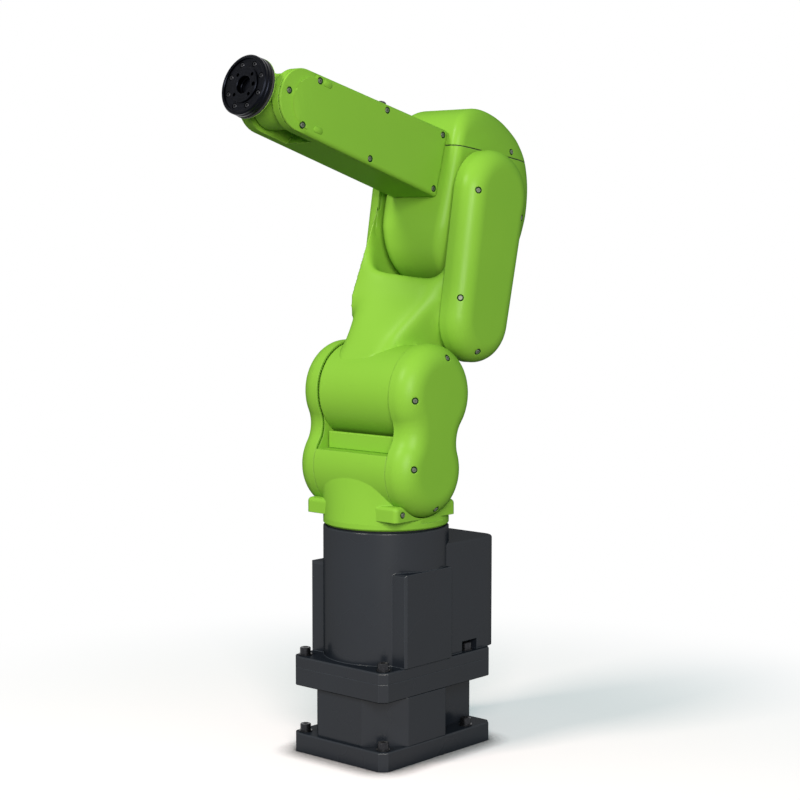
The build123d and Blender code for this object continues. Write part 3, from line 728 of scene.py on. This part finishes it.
for name, side, nodes_replaced in (
    ("elbow_body", -1, ("elbow_casting", "elbow_rear_cover")), ("elbow_top_cover", 1, ()),
):
    half = shape.copy()
    bmesh.ops.bisect_plane(
        half, geom=half.verts[:] + half.edges[:] + half.faces[:],
        plane_co=seam_at + seam_up * side * half_gap, plane_no=seam_up,
        clear_outer=side < 0, clear_inner=side > 0,
    )
    bmesh.ops.holes_fill(half, edges=[edge for edge in half.edges if edge.is_boundary], sides=0)
    bmesh.ops.recalc_face_normals(half, faces=half.faces)
    piece = linked(name, as_mesh(name, half), green_enamel)
    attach(piece, "elbow")
    if nodes_replaced:
        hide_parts(*nodes_replaced)
# The gasket takes its outline from the cut face, which has far more corners than any other.
bmesh.ops.bisect_plane(
    shape, geom=shape.verts[:] + shape.edges[:] + shape.faces[:],
    plane_co=seam_at - seam_up * half_gap, plane_no=seam_up, clear_outer=True,
)
gasket_line = [edge for edge in shape.edges if edge.is_boundary]
bmesh.ops.holes_fill(shape, edges=gasket_line, sides=0)
many_corners, gasket_inset = 60, 0.0015
face = max(shape.faces, key=lambda f: f.normal.dot(seam_up) * (len(f.verts) > many_corners))
outline = [corner.co.copy() for corner in face.verts]
shape.free()
middle = sum(outline, Vector()) / len(outline)
shape = bmesh.new()
skinned(shape, [
    [
        shape.verts.new(spot + (middle - spot).normalized() * gasket_inset + seam_up * lift)
        for spot in outline
    ]
    for lift in (0.0, 2 * half_gap)
])
gasket = linked("elbow_cover_gasket", as_mesh("elbow_cover_gasket", shape), nitrile)
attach(gasket, "elbow")

# Covers: domed shells over the shoulder's cheeks, the arm's tines and the forearm's sides.
# Moulded and sprayed green; low M4 socket heads of zinc-plated steel hold them, each in a bored seat.
# The washer under each cover head is a thin dark ring in the painted seat shade, standing in for the
# shade round the head.
m4_low = {
    "Head radius": 2.7, "Head height": 1.0, "Edge": 0.3, "Socket radius": 1.4, "Socket depth": 0.8,
    "Washer radius": 3.9, "Washer height": 0.2,
}
seat_radius, seat_depth = 0.0041, 0.0015
# Painted shade in the bored seats and under the heads: a dark, dull green that stands in for the shade
# in the recesses.
painted_seat_shade = enamel(
    "dark_green_seat_shade", "#1F4A17", "#183C12", "#2C5E20", roughness=0.6, shine=0.005, peel_mm=1.2,
)
# Dull zinc tinted grey-green: the heads read as small grey-green discs.
dull_zinc = grained(
    "dulled_zinc_steel", "#3E4438", "#7D8475", 0.6, 0.42, 0.55, (1.5, 1.5, 1.5), 0.01,
)
well_aside = 0.3


def seats(node, side, places_mm):
    """Where a line from one side meets a cover, at places given by X and Z."""
    found = []
    for x, z in places_mm:
        start = Vector((x / 1000, side * well_aside, z / 1000))
        hit, place, way, face = nodes[node].ray_cast(start, Vector((0, -side, 0)))
        if hit:
            found.append((place, way))
    return found


def bored_cover(node, body, spots):
    """A cover's moulding with a round seat bored for each screw."""
    shape = bmesh.new()
    shape.from_mesh(nodes[node].data)
    bmesh.ops.remove_doubles(shape, verts=shape.verts, dist=1e-6)
    bmesh.ops.recalc_face_normals(shape, faces=shape.faces)
    cover = linked(node + "_moulding", as_mesh(node + "_moulding", shape), green_enamel)
    bores = bmesh.new()
    for place, way in spots:
        stand = way.to_track_quat("Z", "Y").to_matrix().to_4x4()
        bmesh.ops.create_cone(
            bores, cap_ends=True, segments=40, radius1=seat_radius, radius2=seat_radius,
            depth=4 * seat_depth, matrix=Matrix.Translation(place + way * seat_depth) @ stand,
        )
    # The bores' walls and floors take the cutter's painted seat shade.
    cutter = linked(node + "_bores", as_mesh(node + "_bores", bores), painted_seat_shade)
    cover.data = cut(cover, cutter)
    even = cover.modifiers.new("even", "WEIGHTED_NORMAL")
    even.keep_sharp = True
    cover.data = evaluated_mesh(cover)
    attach(cover, body)
    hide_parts(node)


forearm_foot = (-106.77, 691.65)


def along_forearm(places_mm):
    """Places given along and across the forearm, as X and Z."""
    return [
        (
            forearm_foot[0] + p * math.cos(rise) - q * math.sin(rise),
            forearm_foot[1] + p * math.sin(rise) + q * math.cos(rise),
        )
        for p, q in places_mm
    ]


cover_screws = (
    ("shoulder", "turret", [(47, 430), (50, 351), (-9, 477), (8, 300), (-36, 352)]),
    ("arm", "lower_arm", [(-65, 672), (-38, 546), (-65, 481), (-146, 640)]),
    ("forearm", "forearm", along_forearm(
        [(56, 33), (56, -33), (172, -31), (158, 31), (272, 28), (313, 4), (286, -27)]
    )),
)
for side, word in ((1, "left"), (-1, "right")):
    for part, body, places in cover_screws:
        spots = seats(word + "_" + part + "_cover", side, places)
        bored_cover(word + "_" + part + "_cover", body, spots)
        sunk = [(place - way * seat_depth, way) for place, way in spots]
        screws(word + "_" + part + "_screws", body, sunk, m4_low, dull_zinc, painted_seat_shade)
    shelf = seats("turret_casting", side, [(52, 297)])
    screws(word + "_shelf_screws", "turret", shelf, m4_low, dull_zinc, painted_seat_shade)
    lug = at_elbow @ Vector((-0.056, side * well_aside, 0.0655))
    top_cover = bpy.data.objects["elbow_top_cover"]
    hit, place, way, face = top_cover.ray_cast(lug, Vector((0, -side, 0)))
    screws(
        word + "_elbow_cover_screws", "elbow", [(place, way)], m4_low, dull_zinc, painted_seat_shade,
    )

# Hand-hold bosses on the forearm's covers: two low long-round pads near the wrist on each side.
# Moulded in one with the cover and sprayed with it.
out_of_forearm = 0.0365
boss_sides, boss_half, boss_radius = 32, 3.5, 3.6
boss_crisp = math.radians(50)
for side, word in ((1, "left"), (-1, "right")):
    shape = bmesh.new()
    for p, q in ((262, -25.5), (260, 28.0)):
        loops = []
        for inset, height in ((0.0, -0.2), (0.0, 0.4), (0.35, 0.75)):
            radius = boss_radius - inset
            points = []
            for step in range(boss_sides):
                turn = math.tau * (step + 0.5) / boss_sides
                end = math.copysign(boss_half, math.cos(turn))
                points.append((p + end + radius * math.cos(turn), q + radius * math.sin(turn)))
            loops.append([
                shape.verts.new((x / 1000, side * (out_of_forearm + height / 1000), z / 1000))
                for x, z in along_forearm(points)
            ])
        skinned(shape, loops)
    name = word + "_forearm_bosses"
    piece = linked(name, as_mesh(name, shape), green_enamel, boss_crisp)
    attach(piece, "forearm")

# Elbow bearings: the round pads on which the elbow turns between the arm's tines.
# Hardened steel with ground faces, pressed into the elbow.

# Ground steel: bright, with fine grinding lines along the axle drawn 0.5 mm wide to show.
ground_steel = grained(
    "ground_bearing_steel", "#54575B", "#7F8387", 1.0, 0.24, 0.4, (0.5, 3.0, 0.5), 0.008,
)
for name in ("left_elbow_bearing", "right_elbow_bearing"):
    nodes[name].material_slots[0].material = ground_steel

# Forearm port plug: the knob that closes the port on top of the forearm.
# Moulded black polyamide, pushed into the shell.
nodes["forearm_port_plug"].material_slots[0].material = polyamide

# Wrist: a barrel on the fork's cross axis, with a neck that flares to the seal ring by the flange.
# Cast aluminium in the same green enamel; the ring is black nitrile, pressed on the nose.
wrist_centre = Vector((0.173353, 0.0, 0.766707))
tool_axis = Vector((math.cos(rise), 0.0, math.sin(rise)))
at_tool = Matrix((
    (0.0, -math.sin(rise), tool_axis.x, wrist_centre.x), (1.0, 0.0, 0.0, 0.0),
    (0.0, math.cos(rise), tool_axis.z, wrist_centre.z), (0.0, 0.0, 0.0, 1.0),
))
barrel = turned("wrist_barrel", "wrist", Matrix.Translation(wrist_centre) @ across_body, [(96, [
    (0, -19.9), (26.5, -19.9), (27.0, -19.6), (31.0, -15.6), (31.0, 15.6), (27.0, 19.6),
    (26.5, 19.9), (0, 19.9),
])], green_enamel)
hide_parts("wrist_housing")
turned("wrist_nose", "wrist", at_tool, [(96, [
    (0, 5.0), (18.0, 5.0), (18.0, 41.0), (18.6, 42.3), (20.4, 43.2), (32.6, 44.8), (34.0, 45.2),
    (34.5, 45.8), (34.5, 46.2), (0, 46.2),
])], green_enamel)
turned("wrist_seal_ring", "wrist", at_tool, [(96, [
    (0, 46.2), (34.0, 46.2), (34.3, 46.5), (34.3, 48.5), (33.8, 49.0), (0, 49.0),
])], nitrile)

# Tool flange: the disc that carries the gripper, with a centring bore, tapped holes and a bolted rim.
# Turned aluminium, hard-anodised black; eight small screws in the sunk ring hold it to the gear.

# Black hard anodising: very dark and cloudy, with turning rings drawn 4.4 mm apart to show.
# A wave texture's own period is a turn divided by 20, so that is what its scale starts from.
ring_gap_mm, cloud_mm = 4.398, 6
anodised = bpy.data.materials.new("black_hard_anodised_aluminium")
anodised.use_nodes = True
tree = anodised.node_tree
tree.nodes.clear()
place = add(tree, "ShaderNodeTexCoord", {}, {})
to_tool = at_tool.inverted()
centred = add(tree, "ShaderNodeMapping", {}, {
    "Vector": place.outputs["Object"], "Location": to_tool.to_translation(),
    "Rotation": to_tool.to_euler(),
})
rings = add(tree, "ShaderNodeTexWave", {"wave_type": "RINGS", "rings_direction": "Z"}, {
    "Vector": centred.outputs["Vector"], "Scale": 1000 * math.tau / 20 / ring_gap_mm,
    "Distortion": 0.3, "Detail": 1.0,
})
film = add(tree, "ShaderNodeTexNoise", {}, {
    "Vector": place.outputs["Object"], "Scale": 1000 / cloud_mm, "Detail": 3.0,
})
tone = add(tree, "ShaderNodeMix", {"data_type": "RGBA"}, {
    0: film.outputs["Fac"], 6: linear("#08090C"), 7: linear("#16181F"),
})
gloss = add(tree, "ShaderNodeMapRange", {}, {
    "Value": rings.outputs["Fac"], "To Min": 0.24, "To Max": 0.36,
})
bump = add(tree, "ShaderNodeBump", {}, {
    "Strength": 0.3, "Distance": 0.00002, "Height": rings.outputs["Fac"],
})
shader = add(tree, "ShaderNodeBsdfPrincipled", {}, {
    "Base Color": tone.outputs[2], "Roughness": gloss.outputs["Result"], "Metallic": 1.0,
    "Normal": bump.outputs["Normal"],
})
add(tree, "ShaderNodeOutputMaterial", {}, {"Surface": shader.outputs["BSDF"]})

flange = turned("tool_flange_disc", "tool_flange", at_tool, [(128, [
    (0, 53.5), (9.7, 53.5), (10.0, 53.8), (10.0, 59.9), (10.6, 60.5), (19.6, 60.5), (20.2, 59.9),
    (20.2, 58.6), (30.0, 58.6), (30.0, 59.9), (30.6, 60.5), (32.8, 60.5), (34.0, 59.3), (34.0, 57.2),
    (33.3, 56.5), (33.3, 55.3), (34.0, 54.6), (34.0, 51.6), (31.9, 49.5), (0, 49.5),
])], anodised)
# In mm: the tapped holes and the dowel hole share one circle, the rim's screws sit in seats on another.
tapped_circle, rim_circle, rim_floor = 15.75, 25.1, 56.0
rim_count, rim_start = 8, 22.5
bores = bmesh.new()
for count, start, circle, radius, low, high in (
    (4, 45.0, tapped_circle, 2.1, 52.6, 62.0), (1, 0.0, tapped_circle, 2.5, 54.5, 62.0),
    (rim_count, rim_start, rim_circle, 3.4, rim_floor, 60.0),
):
    for k in range(count):
        turn = math.radians(start + 360.0 * k / count)
        middle = Matrix.Translation((
            circle / 1000 * math.cos(turn), circle / 1000 * math.sin(turn), (low + high) / 2000,
        ))
        bmesh.ops.create_cone(
            bores, cap_ends=True, segments=32, radius1=radius / 1000, radius2=radius / 1000,
            depth=(high - low) / 1000, matrix=at_tool @ middle,
        )
cutter = linked("tool_flange_bores", as_mesh("tool_flange_bores", bores), anodised)
flange.data = cut(flange, cutter)
flange.data.shade_smooth()
flange.data.set_sharp_from_angle(angle=crisp)
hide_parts("tool_flange")
m3_cap = {
    "Head radius": 2.7, "Head height": 2.2, "Edge": 0.4, "Socket radius": 1.3, "Socket depth": 1.3,
    "Washer radius": 3.0, "Washer height": 0.2,
}
flange_places = []
for k in range(rim_count):
    turn = math.radians(rim_start + 360.0 * k / rim_count)
    spot = at_tool @ (Vector((
        rim_circle * math.cos(turn), rim_circle * math.sin(turn), rim_floor,
    )) / 1000)
    flange_places.append((tuple(spot), tuple(tool_axis)))
screws(
    "tool_flange_screws", "tool_flange", flange_places, m3_cap, black_oxide, black_oxide,
)

# Floor: a wide pale sweep of studio paper that keeps the shadow, with a painted contact shadow where the
# base closes it in.
# Near the base it takes the lamps' light, and from 0.3 to 0.85 m out it fades to plain white.


def seen_rays(tree):
    """One for rays from the camera, a gloss or clear glass, and nought for other light."""
    path = add(tree, "ShaderNodeLightPath", {}, {})
    seen = path.outputs["Is Camera Ray"]
    for kind in ("Is Glossy Ray", "Is Transmission Ray"):
        seen = add(tree, "ShaderNodeMath", {"operation": "ADD", "use_clamp": True}, {
            0: seen, 1: path.outputs[kind],
        }).outputs[0]
    return seen


reach = 30
floor_mesh = bpy.data.meshes.new("studio_floor")
floor_mesh.from_pydata(
    [(-reach, -reach, 0), (reach, -reach, 0), (reach, reach, 0), (-reach, reach, 0)], [], [(0, 1, 2, 3)],
)
floor = bpy.data.objects.new("studio_floor", floor_mesh)
bpy.context.scene.collection.objects.link(floor)
paper = bpy.data.materials.new("studio_paper")
paper.use_nodes = True
tree = paper.node_tree
tree.nodes.clear()
matt = add(tree, "ShaderNodeBsdfDiffuse", {}, {"Color": linear("#6C6C6C")})
lit = add(tree, "ShaderNodeBsdfDiffuse", {}, {"Color": linear("#F9E6EA")})
base_glow = add(tree, "ShaderNodeEmission", {}, {"Color": linear("#EFFCFF"), "Strength": 0.29})
near = add(tree, "ShaderNodeAddShader", {}, {0: lit.outputs[0], 1: base_glow.outputs[0]})
white_glow = add(tree, "ShaderNodeEmission", {}, {"Color": linear("#FFFFFF"), "Strength": 1.0})
place = add(tree, "ShaderNodeTexCoord", {}, {})
far = add(tree, "ShaderNodeVectorMath", {"operation": "LENGTH"}, {0: place.outputs["Object"]})
fade = add(tree, "ShaderNodeMapRange", {"interpolation_type": "SMOOTHSTEP"}, {
    "Value": far.outputs["Value"], "From Min": 0.3, "From Max": 0.85,
})
paper_white = add(tree, "ShaderNodeMixShader", {}, {
    0: fade.outputs["Result"], 1: near.outputs[0], 2: white_glow.outputs[0],
})
# Painted contact shadow: the floor turns dark grey where ambient occlusion finds the base close by.
closed_in = add(tree, "ShaderNodeAmbientOcclusion", {"samples": 3}, {"Distance": 0.03})
contact = add(tree, "ShaderNodeMapRange", {}, {
    "Value": closed_in.outputs["AO"], "From Min": 0.62, "From Max": 0.97,
    "To Min": 0.9, "To Max": 0.0,
})
painted_contact_shadow = add(tree, "ShaderNodeBsdfDiffuse", {}, {"Color": linear("#272727")})
with_contact_shadow = add(tree, "ShaderNodeMixShader", {}, {
    0: contact.outputs["Result"], 1: paper_white.outputs[0], 2: painted_contact_shadow.outputs[0],
})
shown = add(tree, "ShaderNodeMixShader", {}, {
    0: seen_rays(tree), 1: matt.outputs[0], 2: with_contact_shadow.outputs[0],
})
add(tree, "ShaderNodeOutputMaterial", {}, {"Surface": shown.outputs[0]})
floor_mesh.materials.append(paper)

# Light: a warm soft box to the front and above, another beside the camera, and a weak cool surround.
# The surround is white only where the camera, a gloss or clear glass looks straight at it.
world = bpy.data.worlds.new("studio")
bpy.context.scene.world = world
world.use_nodes = True
tree = world.node_tree
tree.nodes.clear()
white = add(tree, "ShaderNodeBackground", {}, {"Color": linear("#FFFFFF"), "Strength": 1.0})
surround = add(tree, "ShaderNodeBackground", {}, {"Color": linear("#B3F9F9"), "Strength": 0.28})
shown = add(tree, "ShaderNodeMixShader", {}, {
    0: seen_rays(tree), 1: surround.outputs[0], 2: white.outputs[0],
})
add(tree, "ShaderNodeOutputWorld", {}, {"Surface": shown.outputs[0]})
aim = Vector((0, 0, 0.45))
for name, place, size, power, colour in (
    ("key_softbox", (2.3, -0.5, 2.6), 0.7, 58.0, (1.0, 0.95, 0.84)),
    ("front_softbox", (2.0, 2.1, 1.4), 1.3, 88.0, (1.0, 0.96, 0.88)),
):
    light = bpy.data.lights.new(name, "AREA")
    light.size = size
    light.energy = power
    light.color = colour
    lamp = bpy.data.objects.new(name, light)
    lamp.location = place
    lamp.rotation_euler = (aim - Vector(place)).to_track_quat("-Z", "Y").to_euler()
    bpy.context.scene.collection.objects.link(lamp)

# Camera: eye height near the shoulder, to the arm's front left.
# Its frame is shifted a little sideways, so that the arm stands where it does in the picture.
heading, pitch = 0.733, 0.090
eye_distance, eye_height = 2.1987, 0.6213
eye = Vector((eye_distance * math.cos(heading), eye_distance * math.sin(heading), eye_height))
level = math.cos(pitch)
look = Vector((-math.cos(heading) * level, -math.sin(heading) * level, -math.sin(pitch)))
camera_data = bpy.data.cameras.new("camera")
camera_data.sensor_width = 36.0
camera_data.lens = 83.1
camera_data.shift_x = 0.0175
camera = bpy.data.objects.new("camera", camera_data)
camera.location = eye
camera.rotation_euler = look.to_track_quat("-Z", "Y").to_euler()
bpy.context.scene.collection.objects.link(camera)
bpy.context.scene.camera = camera
bpy.context.scene.view_settings.view_transform = "Standard"
